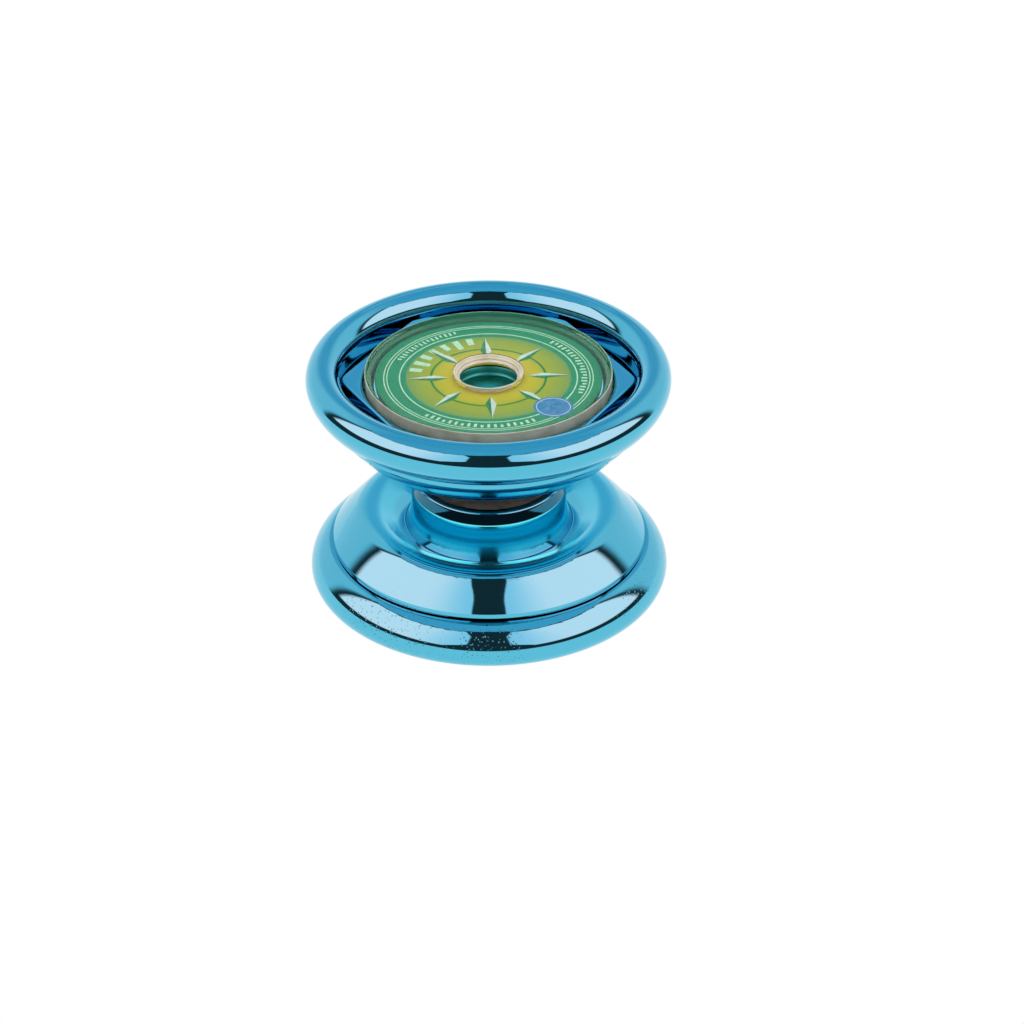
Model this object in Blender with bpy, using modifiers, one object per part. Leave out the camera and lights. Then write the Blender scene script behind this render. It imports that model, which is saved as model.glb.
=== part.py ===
"""Take-apart ball-bearing yo-yo, modelled as separate pieces.

The yo-yo stands on its lower lip with its axle along +Z, its lowest point at z = 0 and its axis
on x = y = 0.  Its two halves are alike: every half piece is drawn once for the upper half, with
its heights measured from the middle of the string gap, and hangs from an empty at that middle.
The lower half's empty is turned half a turn about X.
"""
import math

import bmesh
import bpy
from mathutils import Matrix

MM = 0.001                    # sizes below are in millimetres

# Driving dimensions of one half; heights are above the middle of the string gap
HALF_HEIGHT = 19.3            # to the crest of the lip
RIM_RADIUS = 28.0             # widest radius
RIM_WIDEST = 16.5             # height of the widest radius
LIP_RADIUS = 25.25            # crest of the lip
LIP_FLAT = 0.3                # half width of the narrow flat that the yo-yo rests on
LIP_INNER = 22.7              # where the lip ends inside
WELL_RADIUS = 23.2            # inner wall of the rim below the lip
WELL_TOP = 16.0               # where that wall meets the lip
FLANK_PULL = (27.9, 14.6)     # bends the flank below the widest radius
FLANK_TURN = (26.3, 13.1)     # flank turns inwards here
STEP_PULL = (25.6, 12.45)
STEP_RADIUS = 25.0            # rim's lower edge, beside the seam with the body
SEAT_HEIGHT = 11.9            # flat of the body that carries the rim and the deck

# Catch zone: it bulges towards the string gap, with a shallow valley between bulge and hub
DOME_EDGE = (24.4, 11.1)      # outer edge
DOME_PULL = (22.45, 8.6)
DOME_TURN = (20.8, 7.05)      # the crest's arc starts here
CREST_CENTRE = (18.44, 9.49)
CREST_RADIUS = 3.4
CREST_ARC = (-44.0, -121.8)   # degrees, from the outer side to the valley
VALLEY_FOOT = (13.3, 8.8)     # where the catch zone meets the bead round the hub
BEAD = (13.1, 8.9)

# Hub: it flares into the bead, and its wall leans in slightly towards the string gap
HUB_FLARE = (12.15, 7.2)
HUB_FOOT = (12.05, 5.0)
HUB_SHOULDER = (12.0, 3.0)
HUB_EDGE = (11.5, 1.35)       # rounded edge round the face
HUB_EDGE_PULL = (11.4, 1.05)
FACE_EDGE = 11.1
FACE_HEIGHT = 1.05            # half of the string gap
FACE_RADIUS = 10.4            # pad groove's outer wall

GAP = 0.3                     # clearance between pieces that rest on each other

# Response pad and its groove
GROOVE_INNER = 7.1
GROOVE_DEPTH = 1.35
PAD_HEIGHT = 0.9

# Ball bearing, size C
RACE_OUTER = 6.35
RACE_BORE = 3.175
BEARING_HALF = 2.38
PITCH_RADIUS = (RACE_OUTER + RACE_BORE) / 2
BALL_RADIUS = 0.75
BALLS = 8
TRACK_RADIUS = BALL_RADIUS + 0.1
INNER_SHOULDER = 4.25
OUTER_SHOULDER = 5.3
SHIELD_STEP = (5.75, 1.7)     # radius and height of the step that holds a shield
SHIELD = (4.45, 5.6, 1.85, 2.1)   # inner and outer radius, lower and upper face
CAGE = (4.42, 5.12, 1.15)     # inner and outer radius, half height
CAGE_POCKET = (0.9, 2.0, 12)  # radius, cutting depth and sides of a pocket

# Axle, its nuts and the bearing spacers
AXLE_RADIUS = 2.0
AXLE_HALF = 9.6
AXLE_CHAMFER = 0.4
NUT_CORNER = 5.0
NUT_HEIGHTS = (5.0, 9.0)
SPACER_FLANGE = (4.3, 3.6)    # radius and top of the flange
SLEEVE_RADIUS = RACE_BORE - GAP
SLEEVE_FOOT = 0.15            # the two sleeves stop short of each other

# Body pockets
BORE_RADIUS = AXLE_RADIUS + GAP
BEARING_POCKET = (RACE_OUTER + GAP, 2.9)
BOSS_RADIUS = 6.5
POCKET_RADIUS = 10.8
POCKET_FLOOR = 4.5
HOLLOW = (16.8, 22.0)         # ring-shaped hollow behind the bulge, inner and outer radius
HOLLOW_FLOOR = 8.7
HOLLOW_SLOPE = (1.4, 1.3)     # its outer corner slopes by this width and height

# Deck: a disc with a six-sided platform that holds the label and the lens
DECK_RADIUS = WELL_RADIUS - GAP
DECK_FLOOR = 13.2             # floor of the moat between platform and rim
PLATFORM_FOOT = 12.7          # the platform starts inside the disc
PLATFORM_FLAT = 20.0          # radius to the middle of a flat side
PLATFORM_CORNER = 1.5         # rounding of its corners
PLATFORM_TOP = 16.1
CHANNEL = (17.6, 19.3, 14.6)  # inner and outer radius and floor of the lens channel
TABLE_TOP = 15.4              # under the label
EYE_RADIUS = 5.8              # well in the middle
EYE_FLOOR = 13.5

LABEL = (5.0, 17.4, 15.7, 16.0)   # inner and outer radius, lower and upper face

# Lens: a clear disc with a skirt round it and a flared hole in its middle
LENS_RADIUS = 19.0
LENS_TOP = 17.5
LENS_UNDER = 16.3
LENS_BEVEL = 0.3
LENS_SKIRT = (17.9, 14.9)     # inner radius and foot
LENS_HOLE = (5.1, 4.4)        # radius at the top and at the bottom

# Facets round the axis
TURNS_OUTSIDE = 36
TURNS_INSIDE = 28
TURNS_SMALL = 20

BLUE = (0.106, 0.51, 0.69)


def clear_scene():
    for item in list(bpy.data.objects):
        bpy.data.objects.remove(item)


def new_collection(name):
    collection = bpy.data.collections.new(name)
    bpy.context.scene.collection.children.link(collection)
    return collection


def new_material(name, colour, roughness, metallic=0.0, transmission=0.0):
    material = bpy.data.materials.new(name)
    material.use_nodes = True
    shader = material.node_tree.nodes["Principled BSDF"]
    shader.inputs["Base Color"].default_value = (*colour, 1.0)
    shader.inputs["Roughness"].default_value = roughness
    shader.inputs["Metallic"].default_value = metallic
    shader.inputs["Transmission Weight"].default_value = transmission
    return material


def arc(centre, radii, start, end, count):
    """Points on an ellipse's arc, from one angle to another in degrees."""
    points = []
    for i in range(count):
        angle = math.radians(start + (end - start) * i / (count - 1))
        points.append((centre[0] + radii[0] * math.cos(angle), centre[1] + radii[1] * math.sin(angle)))
    return points


def sweep(start, pull, end, count):
    """Points on a smooth curve from start to end, tangent to the lines through pull."""
    points = []
    for i in range(count):
        t = i / (count - 1)
        a, b, c = (1 - t) ** 2, 2 * t * (1 - t), t * t
        points.append(tuple(a * p + b * q + c * r for p, q, r in zip(start, pull, end)))
    return points


def add_object(name, data, collection, parent, material=None):
    item = bpy.data.objects.new(name, data)
    collection.objects.link(item)
    item.parent = parent
    if material:
        data.materials.append(material)
    return item


def turned(name, profile, turns, collection, parent, material=None):
    """A solid of revolution about Z from a profile of (radius, height).

    The profile runs down the outer side.  It is a closed loop, or it is open with both ends on
    the axis.
    """
    on_axis = profile[0][0] == 0.0
    count = len(profile)
    mesh = bpy.data.meshes.new(name)
    shape = bmesh.new()
    corners = [shape.verts.new((radius * MM, 0.0, height * MM)) for radius, height in profile]
    for i in range(count - 1 if on_axis else count):
        shape.edges.new((corners[i], corners[(i + 1) % count]))
    shape.to_mesh(mesh)
    shape.free()
    item = add_object(name, mesh, collection, parent, material)
    screw = item.modifiers.new("Turn", "SCREW")
    screw.axis = "Z"
    screw.angle = math.tau
    screw.steps = turns
    screw.render_steps = turns
    screw.use_merge_vertices = True
    screw.merge_threshold = 0.00001
    screw.use_smooth_shade = True
    if on_axis:
        weld = item.modifiers.new("Close on the axis", "WELD")
        weld.merge_threshold = 0.00001
    return item


def cut(item, cutter):
    """Takes a hidden cutter away from an object."""
    cutter.hide_render = True
    cutter.display_type = "WIRE"
    boolean = item.modifiers.new("Cut " + cutter.name, "BOOLEAN")
    boolean.operation = "DIFFERENCE"
    boolean.object = cutter


def ring_profile(inner, outer, low, high):
    return [(inner, high), (outer, high), (outer, low), (inner, low)]


def rim_profile():
    """The rounded rim: lip with a narrow flat crest, bulging flank, and a plain inner wall."""
    crest = HALF_HEIGHT - RIM_WIDEST
    outer_lip = arc((LIP_RADIUS, RIM_WIDEST), (RIM_RADIUS - LIP_RADIUS, crest), 84, 0, 6)
    inner_lip = arc((LIP_RADIUS, RIM_WIDEST), (LIP_RADIUS - LIP_INNER, crest), 180, 97, 5)
    flank = sweep((RIM_RADIUS, RIM_WIDEST), FLANK_PULL, FLANK_TURN, 5)
    step = sweep(FLANK_TURN, STEP_PULL, (STEP_RADIUS, SEAT_HEIGHT + GAP), 4)
    flat = [(LIP_RADIUS - LIP_FLAT, HALF_HEIGHT), (LIP_RADIUS + LIP_FLAT, HALF_HEIGHT)]
    wall = [(WELL_RADIUS, SEAT_HEIGHT + GAP), (WELL_RADIUS, WELL_TOP)]
    return flat + outer_lip + flank[1:] + step[1:] + wall + inner_lip


def body_profile():
    """Catch zone and hub outside; seats for pad, bearing, spacer and nut inside."""
    slope_width, slope_height = HOLLOW_SLOPE
    seat = [
        (POCKET_RADIUS, SEAT_HEIGHT), (HOLLOW[0], SEAT_HEIGHT), (HOLLOW[0], HOLLOW_FLOOR),
        (HOLLOW[1] - slope_width, HOLLOW_FLOOR), (HOLLOW[1], HOLLOW_FLOOR + slope_height),
        (HOLLOW[1], SEAT_HEIGHT), (DOME_EDGE[0], SEAT_HEIGHT),
    ]
    dome = sweep(DOME_EDGE, DOME_PULL, DOME_TURN, 5)
    crest = arc(CREST_CENTRE, (CREST_RADIUS, CREST_RADIUS), *CREST_ARC, 9)[1:]
    hub = [VALLEY_FOOT, *sweep(BEAD, HUB_FLARE, HUB_FOOT, 5), HUB_SHOULDER]
    edge = sweep(HUB_EDGE, HUB_EDGE_PULL, (FACE_EDGE, FACE_HEIGHT), 3)
    groove_top = FACE_HEIGHT + GROOVE_DEPTH
    pocket_radius, pocket_floor = BEARING_POCKET
    flange_radius = SPACER_FLANGE[0] + GAP
    flange_top = SPACER_FLANGE[1] + GAP
    nut_floor = NUT_HEIGHTS[0] - GAP
    nut_mouth = NUT_HEIGHTS[1] + GAP
    seats = [
        (FACE_RADIUS, FACE_HEIGHT), (FACE_RADIUS, groove_top), (GROOVE_INNER, groove_top),
        (GROOVE_INNER, FACE_HEIGHT), (pocket_radius, FACE_HEIGHT),
        (pocket_radius, pocket_floor), (flange_radius, pocket_floor),
        (flange_radius, flange_top), (BORE_RADIUS, flange_top),
        (BORE_RADIUS, nut_floor), (NUT_CORNER + GAP, nut_floor),
        (NUT_CORNER + GAP, nut_mouth), (BOSS_RADIUS, nut_mouth),
        (BOSS_RADIUS, POCKET_FLOOR), (POCKET_RADIUS, POCKET_FLOOR),
    ]
    return seat + dome + crest + hub + edge + seats


def add_deck(name, parent, parts, cutters, material):
    """Disc with a raised hexagon on it, recessed for the lens, the label and the middle well."""
    disc = [(0.0, DECK_FLOOR), (DECK_RADIUS, DECK_FLOOR),
            (DECK_RADIUS, SEAT_HEIGHT + GAP), (0.0, SEAT_HEIGHT + GAP)]
    deck = turned(name, disc, TURNS_OUTSIDE, parts, parent, material)

    low = PLATFORM_FOOT
    corner = PLATFORM_FLAT / math.cos(math.pi / 6)
    mesh = bpy.data.meshes.new(name + "_platform")
    shape = bmesh.new()
    bmesh.ops.create_cone(
        shape, cap_ends=True, segments=6, radius1=corner * MM, radius2=corner * MM,
        depth=(PLATFORM_TOP - low) * MM,
        matrix=Matrix.Translation((0, 0, (PLATFORM_TOP + low) / 2 * MM))
        @ Matrix.Rotation(math.radians(90), 4, "Z"))
    upright = [edge for edge in shape.edges if abs(edge.verts[0].co.z - edge.verts[1].co.z) > MM]
    bmesh.ops.bevel(shape, geom=upright, offset=PLATFORM_CORNER * MM * math.tan(math.pi / 6),
                    segments=3, profile=0.5, affect="EDGES")
    shape.to_mesh(mesh)
    shape.free()
    platform = add_object(name + "_platform", mesh, cutters, parent)
    platform.hide_render = True
    platform.display_type = "WIRE"
    join = deck.modifiers.new("Raise the platform", "BOOLEAN")
    join.operation = "UNION"
    join.object = platform

    inner, outer, floor = CHANNEL
    above = PLATFORM_TOP + 1.0
    recess = [(0.0, above), (outer, above), (outer, floor), (inner, floor), (inner, TABLE_TOP),
              (EYE_RADIUS, TABLE_TOP), (EYE_RADIUS, EYE_FLOOR), (0.0, EYE_FLOOR)]
    cut(deck, turned(name + "_recess", recess, TURNS_OUTSIDE, cutters, parent))
    return deck


def lens_profile():
    skirt_radius, foot = LENS_SKIRT
    top_hole, low_hole = LENS_HOLE
    return [(top_hole, LENS_TOP), (LENS_RADIUS - LENS_BEVEL, LENS_TOP), (LENS_RADIUS, LENS_TOP - LENS_BEVEL),
            (LENS_RADIUS, foot), (skirt_radius, foot), (skirt_radius, LENS_UNDER), (low_hole, LENS_UNDER)]


def spacer_profile():
    flange_radius, flange_top = SPACER_FLANGE
    flange_foot = BEARING_HALF + GAP
    return [(BORE_RADIUS, flange_top), (flange_radius, flange_top), (flange_radius, flange_foot),
            (SLEEVE_RADIUS, flange_foot), (SLEEVE_RADIUS, SLEEVE_FOOT), (BORE_RADIUS, SLEEVE_FOOT)]


def add_nut(name, parent, parts, material):
    """Six-sided insert with a round bore, an outline extruded along the axle."""
    low, high = NUT_HEIGHTS
    outline = bpy.data.curves.new(name, "CURVE")
    outline.dimensions = "2D"
    outline.fill_mode = "BOTH"
    outline.extrude = (high - low) / 2 * MM
    for radius, sides in ((NUT_CORNER, 6), (BORE_RADIUS, TURNS_SMALL)):
        spline = outline.splines.new("POLY")
        spline.points.add(sides - 1)
        spline.use_cyclic_u = True
        for i, point in enumerate(spline.points):
            angle = math.tau * i / sides
            point.co = (radius * MM * math.cos(angle), radius * MM * math.sin(angle), 0.0, 1.0)
    nut = add_object(name, outline, parts, parent, material)
    nut.location.z = (low + high) / 2 * MM
    return nut


def add_half(side, flipped, parts, cutters, materials):
    """The eight pieces of one half, hung from an empty in the middle of the string gap."""
    empty = bpy.data.objects.new(side + "_half", None)
    parts.objects.link(empty)
    empty.location.z = HALF_HEIGHT * MM
    if flipped:
        empty.rotation_euler.x = math.pi

    turned(side + "_rim", rim_profile(), TURNS_OUTSIDE, parts, empty, materials["blue"])
    turned(side + "_body", body_profile(), TURNS_OUTSIDE, parts, empty, materials["blue"])
    add_deck(side + "_deck", empty, parts, cutters, materials["deck"])
    turned(side + "_label", ring_profile(*LABEL), TURNS_OUTSIDE, parts, empty, materials["label"])
    turned(side + "_lens", lens_profile(), TURNS_OUTSIDE, parts, empty, materials["lens"])
    pad_low = FACE_HEIGHT + GROOVE_DEPTH - GAP - PAD_HEIGHT
    pad = ring_profile(GROOVE_INNER + GAP, FACE_RADIUS - GAP, pad_low, pad_low + PAD_HEIGHT)
    turned(side + "_response_pad", pad, TURNS_INSIDE, parts, empty, materials["pad"])
    turned(side + "_spacer", spacer_profile(), TURNS_SMALL, parts, empty, materials["steel"])
    add_nut(side + "_axle_nut", empty, parts, materials["brass"])


def add_bearing(parts, cutters, materials):
    """Races, shields, cage and balls round the middle of the axle."""
    centre = bpy.data.objects.new("bearing_centre", None)
    parts.objects.link(centre)
    centre.location.z = HALF_HEIGHT * MM
    steel = materials["steel"]

    reach = math.degrees(math.acos((PITCH_RADIUS - INNER_SHOULDER) / TRACK_RADIUS))
    inner_track = arc((PITCH_RADIUS, 0.0), (TRACK_RADIUS,) * 2, 180 - reach, 180 + reach, 5)
    inner = [(RACE_BORE, BEARING_HALF), (INNER_SHOULDER, BEARING_HALF), *inner_track,
             (INNER_SHOULDER, -BEARING_HALF), (RACE_BORE, -BEARING_HALF)]
    turned("bearing_inner_race", inner, TURNS_INSIDE, parts, centre, steel)

    reach = math.degrees(math.acos((OUTER_SHOULDER - PITCH_RADIUS) / TRACK_RADIUS))
    outer_track = arc((PITCH_RADIUS, 0.0), (TRACK_RADIUS,) * 2, -reach, reach, 5)
    step_radius, step = SHIELD_STEP
    outer = [(step_radius, BEARING_HALF), (RACE_OUTER, BEARING_HALF), (RACE_OUTER, -BEARING_HALF),
             (step_radius, -BEARING_HALF), (step_radius, -step), (OUTER_SHOULDER, -step),
             *outer_track, (OUTER_SHOULDER, step), (step_radius, step)]
    turned("bearing_outer_race", outer, TURNS_INSIDE, parts, centre, steel)

    inside, outside, low, high = SHIELD
    turned("bearing_upper_shield", ring_profile(inside, outside, low, high), TURNS_INSIDE, parts, centre, steel)
    turned("bearing_lower_shield", ring_profile(inside, outside, -high, -low), TURNS_INSIDE, parts, centre, steel)

    inside, outside, half = CAGE
    cage = turned("bearing_cage", ring_profile(inside, outside, -half, half), TURNS_INSIDE, parts, centre,
                  materials["brass"])
    mesh = bpy.data.meshes.new("cage_pockets")
    shape = bmesh.new()
    pocket_radius, depth, sides = CAGE_POCKET
    for i in range(BALLS):
        turn = Matrix.Rotation(math.tau * i / BALLS, 4, "Z")
        place = Matrix.Translation((PITCH_RADIUS * MM, 0, 0)) @ Matrix.Rotation(math.pi / 2, 4, "Y")
        bmesh.ops.create_cone(shape, cap_ends=True, segments=sides, radius1=pocket_radius * MM,
                              radius2=pocket_radius * MM, depth=depth * MM, matrix=turn @ place)
    shape.to_mesh(mesh)
    shape.free()
    cut(cage, add_object("cage_pockets", mesh, cutters, centre))

    ball = bpy.data.meshes.new("ball")
    shape = bmesh.new()
    bmesh.ops.create_uvsphere(shape, u_segments=10, v_segments=6, radius=BALL_RADIUS * MM)
    shape.to_mesh(ball)
    shape.free()
    ball.materials.append(steel)
    ball.shade_smooth()
    for i in range(BALLS):
        angle = math.tau * i / BALLS
        item = add_object("ball_{}".format(i + 1), ball, parts, centre)
        item.location = (PITCH_RADIUS * MM * math.cos(angle), PITCH_RADIUS * MM * math.sin(angle), 0.0)


def add_axle(parts, materials):
    """Threaded rod, drawn plain with a chamfer at each end."""
    end_radius = AXLE_RADIUS - AXLE_CHAMFER
    side_end = AXLE_HALF - AXLE_CHAMFER
    rod = [(0.0, AXLE_HALF), (end_radius, AXLE_HALF), (AXLE_RADIUS, side_end),
           (AXLE_RADIUS, -side_end), (end_radius, -AXLE_HALF), (0.0, -AXLE_HALF)]
    axle = turned("axle", rod, TURNS_SMALL, parts, None, materials["steel"])
    axle.location.z = HALF_HEIGHT * MM


def main():
    clear_scene()
    parts = new_collection("yo_yo")
    cutters = new_collection("cutters")
    materials = {
        "blue": new_material("blue_plated_metal", BLUE, 0.06, metallic=1.0),
        "deck": new_material("blue_plated_deck", BLUE, 0.08, metallic=1.0),
        "label": new_material("printed_label", (0.10, 0.45, 0.22), 0.5),
        "lens": new_material("clear_lens", (0.93, 0.93, 0.84), 0.03, transmission=1.0),
        "pad": new_material("cream_silicone", (0.55, 0.47, 0.36), 0.7),
        "steel": new_material("bearing_steel", (0.56, 0.57, 0.58), 0.15, metallic=1.0),
        "brass": new_material("brass", (0.72, 0.52, 0.20), 0.3, metallic=1.0),
    }
    add_half("upper", False, parts, cutters, materials)
    add_half("lower", True, parts, cutters, materials)
    add_bearing(parts, cutters, materials)
    add_axle(parts, materials)


main()
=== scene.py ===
"""Looks of the take-apart ball-bearing yo-yo: mirror-bright blue halves round a steel bearing.

Each half is drawn once, in millimetres, with heights measured from the middle of the string gap,
and is then placed as the upper or the lower half.  Outer sizes come from the CAD nodes' boxes, and the
profiles follow the CAD.
"""
import math

import bpy
import numpy as np
from mathutils import Matrix, Vector


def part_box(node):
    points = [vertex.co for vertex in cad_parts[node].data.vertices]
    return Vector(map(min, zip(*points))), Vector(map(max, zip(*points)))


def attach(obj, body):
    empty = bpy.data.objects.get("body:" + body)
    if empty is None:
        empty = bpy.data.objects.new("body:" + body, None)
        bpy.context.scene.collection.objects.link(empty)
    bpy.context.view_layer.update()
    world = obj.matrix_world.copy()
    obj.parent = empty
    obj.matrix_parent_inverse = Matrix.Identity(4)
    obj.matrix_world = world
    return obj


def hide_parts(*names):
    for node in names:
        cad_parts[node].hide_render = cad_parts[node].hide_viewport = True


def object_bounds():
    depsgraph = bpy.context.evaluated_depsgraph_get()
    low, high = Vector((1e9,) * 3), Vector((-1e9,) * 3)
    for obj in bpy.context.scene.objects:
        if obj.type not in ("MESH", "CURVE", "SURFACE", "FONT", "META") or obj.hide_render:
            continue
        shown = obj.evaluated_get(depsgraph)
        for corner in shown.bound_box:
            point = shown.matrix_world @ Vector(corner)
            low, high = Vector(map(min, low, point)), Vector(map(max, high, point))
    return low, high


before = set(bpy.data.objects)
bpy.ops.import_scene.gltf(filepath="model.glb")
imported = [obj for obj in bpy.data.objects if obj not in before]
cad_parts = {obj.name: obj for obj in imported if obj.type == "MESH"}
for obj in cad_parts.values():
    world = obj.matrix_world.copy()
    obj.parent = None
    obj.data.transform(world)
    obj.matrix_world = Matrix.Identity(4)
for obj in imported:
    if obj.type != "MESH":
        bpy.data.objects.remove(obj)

CAD_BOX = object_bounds()

MM = 0.001
MIDDLE = (CAD_BOX[0][2] + CAD_BOX[1][2]) / 2      # height of the middle of the string gap
SEGMENTS = 288                                    # facets round the axis of the large pieces

# Camera
CAMERA_ELEVATION = 31.78
CAMERA_DISTANCE = 0.566
CAMERA_AIM = (0.0036, 0.0, -0.0079)               # from the middle of the string gap
CAMERA_LENS = 127.1

# Colours, linear
BLUE = (0.106, 0.51, 0.69)
DECK_BLUE = (0.10, 0.49, 0.70)
# painted highlight: lighter colour of the hub's wall, standing in for the bright light it mirrors
HUB_PAINTED_HIGHLIGHT_BLUE = (0.15, 0.9, 0.98)
# satin valley: rougher finish, and this lighter colour is a painted sheen
SATIN_PAINTED_SHEEN_BLUE = (0.12, 0.62, 0.80)
# painted shade: dark colour of the hub's chamfer, standing in for the dark gap it mirrors
CHAMFER_PAINTED_SHADE_BLUE = (0.03, 0.16, 0.25)
LINE_GREEN = (0.0, 0.19, 0.035)

WORN_SIDE = (-17.0, -29.0, -20.0)                 # direction of the worn side of the lower rim


# ---------------------------------------------------------------- sizes from the frame

def node_size(node):
    """Outer radius, lower and upper height in millimetres above the middle of the string gap."""
    low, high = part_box(node)
    return high.x / MM, (low.z - MIDDLE) / MM, (high.z - MIDDLE) / MM


RIM_RADIUS, RIM_FOOT, LIP_TOP = node_size("upper_rim")
DOME_RADIUS, FACE_HEIGHT, SEAT_HEIGHT = node_size("upper_body")
DECK_RADIUS, DECK_FOOT, PLATFORM_TOP = node_size("upper_deck")
LENS_RADIUS, LENS_FOOT, LENS_TOP = node_size("upper_lens")
LABEL_RADIUS, LABEL_LOW, LABEL_TOP = node_size("upper_label")
PAD_RADIUS, PAD_LOW, PAD_TOP = node_size("upper_response_pad")
FLANGE_RADIUS, SLEEVE_FOOT, FLANGE_TOP = node_size("upper_spacer")
NUT_CORNER, NUT_LOW, NUT_TOP = node_size("upper_axle_nut")
AXLE_RADIUS, _, AXLE_TOP = node_size("axle")
RACE_RADIUS, _, RACE_TOP = node_size("bearing_outer_race")
SHIELD_RADIUS, SHIELD_LOW, SHIELD_TOP = node_size("bearing_upper_shield")
CAGE_RADIUS, CAGE_LOW, CAGE_TOP = node_size("bearing_cage")


# ---------------------------------------------------------------- profiles

def arc(centre, radii, start, end, count):
    """Points on an ellipse's arc, from one angle to another in degrees."""
    angles = np.radians(np.linspace(start, end, count))
    return [(centre[0] + radii[0] * math.cos(a), centre[1] + radii[1] * math.sin(a)) for a in angles]


def sweep(start, pull, end, count):
    """Points on a smooth curve from start to end, tangent to the lines through pull."""
    points = []
    for t in np.linspace(0, 1, count):
        a, b, c = (1 - t) ** 2, 2 * t * (1 - t), t * t
        points.append(tuple(a * p + b * q + c * r for p, q, r in zip(start, pull, end)))
    return points


def rounded(corners, radius, steps=4):
    """A closed outline with each of its corners rounded."""
    points = []
    count = len(corners)
    for i in range(count):
        here, before, after = (np.array(corners[j], float) for j in (i, i - 1, (i + 1) % count))
        back, ahead = before - here, after - here
        reach = min(radius, 0.45 * np.linalg.norm(back), 0.45 * np.linalg.norm(ahead))
        start = here + back / np.linalg.norm(back) * reach
        end = here + ahead / np.linalg.norm(ahead) * reach
        points += sweep(tuple(start), tuple(here), tuple(end), steps)
    return points


# ---------------------------------------------------------------- meshes

def half_matrix(side):
    """Places a half drawn for the upper side, in millimetres above the middle of the gap."""
    matrix = Matrix.Translation((0, 0, MIDDLE)) @ Matrix.Scale(MM, 4)
    return matrix @ Matrix.Rotation(math.pi, 4, "X") if side == "lower" else matrix


def mesh_object(name, points, faces, matrix, materials, sharp=32):
    mesh = bpy.data.meshes.new(name)
    mesh.from_pydata([tuple(p) for p in points], [], faces)
    mesh.transform(matrix)
    mesh.validate()
    mesh.shade_smooth()
    mesh.set_sharp_from_angle(angle=math.radians(sharp))
    for material in materials:
        mesh.materials.append(material)
    item = bpy.data.objects.new(name, mesh)
    bpy.context.scene.collection.objects.link(item)
    return item


def turned(name, profile, matrix, material, segments=SEGMENTS, change=None, sharp=32):
    """A solid of revolution from a profile of (radius, height) that runs down its outer side.

    The profile is a closed loop, or it is open with both ends on the axis.  change(angles, radii,
    heights) may return other radii and heights for the grid of points.
    """
    profile = np.array(profile, float)
    angles = np.arange(segments) * math.tau / segments
    radii = np.repeat(profile[:, :1], segments, axis=1)
    heights = np.repeat(profile[:, 1:], segments, axis=1)
    if change:
        radii, heights = change(np.broadcast_to(angles, radii.shape), radii, heights)
    points = np.stack([radii * np.cos(angles), radii * np.sin(angles), heights], axis=-1).reshape(-1, 3)
    rows = len(profile)
    faces = []
    for i in range(rows - 1 if profile[0][0] == 0 else rows):
        j = (i + 1) % rows
        for k in range(segments):
            m = (k + 1) % segments
            if i == 0 and profile[0][0] == 0:
                faces.append((j * segments + k, j * segments + m, 0))
            elif j == rows - 1 and profile[0][0] == 0:
                faces.append((j * segments, i * segments + m, i * segments + k))
            else:
                faces.append((j * segments + k, j * segments + m, i * segments + m, i * segments + k))
    used = sorted({corner for face in faces for corner in face})
    number = {corner: i for i, corner in enumerate(used)}
    faces = [tuple(number[corner] for corner in face) for face in faces]
    return mesh_object(name, points[used], faces, matrix, [material], sharp)


def prisms(name, outlines, low, high, matrix, materials, picks):
    """Flat printed shapes: each outline of (x, y), anticlockwise, stands from low to high."""
    points, faces, indices = [], [], []
    for outline, pick in zip(outlines, picks):
        start, count = len(points), len(outline)
        points += [(x, y, high) for x, y in outline] + [(x, y, low) for x, y in outline]
        made = [tuple(start + i for i in range(count)),
                tuple(start + count + i for i in reversed(range(count)))]
        for i in range(count):
            j = (i + 1) % count
            made.append((start + count + i, start + count + j, start + j, start + i))
        faces += made
        indices += [pick] * len(made)
    item = mesh_object(name, points, faces, matrix, materials, sharp=20)
    item.data.polygons.foreach_set("material_index", indices)
    return item


def carve(item, cutter):
    """Cuts one mesh out of another for good."""
    boolean = item.modifiers.new("carve", "BOOLEAN")
    boolean.operation = "DIFFERENCE"
    boolean.solver = "EXACT"
    boolean.object = cutter
    depsgraph = bpy.context.evaluated_depsgraph_get()
    mesh = bpy.data.meshes.new_from_object(item.evaluated_get(depsgraph))
    item.modifiers.remove(boolean)
    item.data = mesh
    mesh.set_sharp_from_angle(angle=math.radians(35))
    bpy.data.objects.remove(cutter)


# ---------------------------------------------------------------- node graphs

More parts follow.
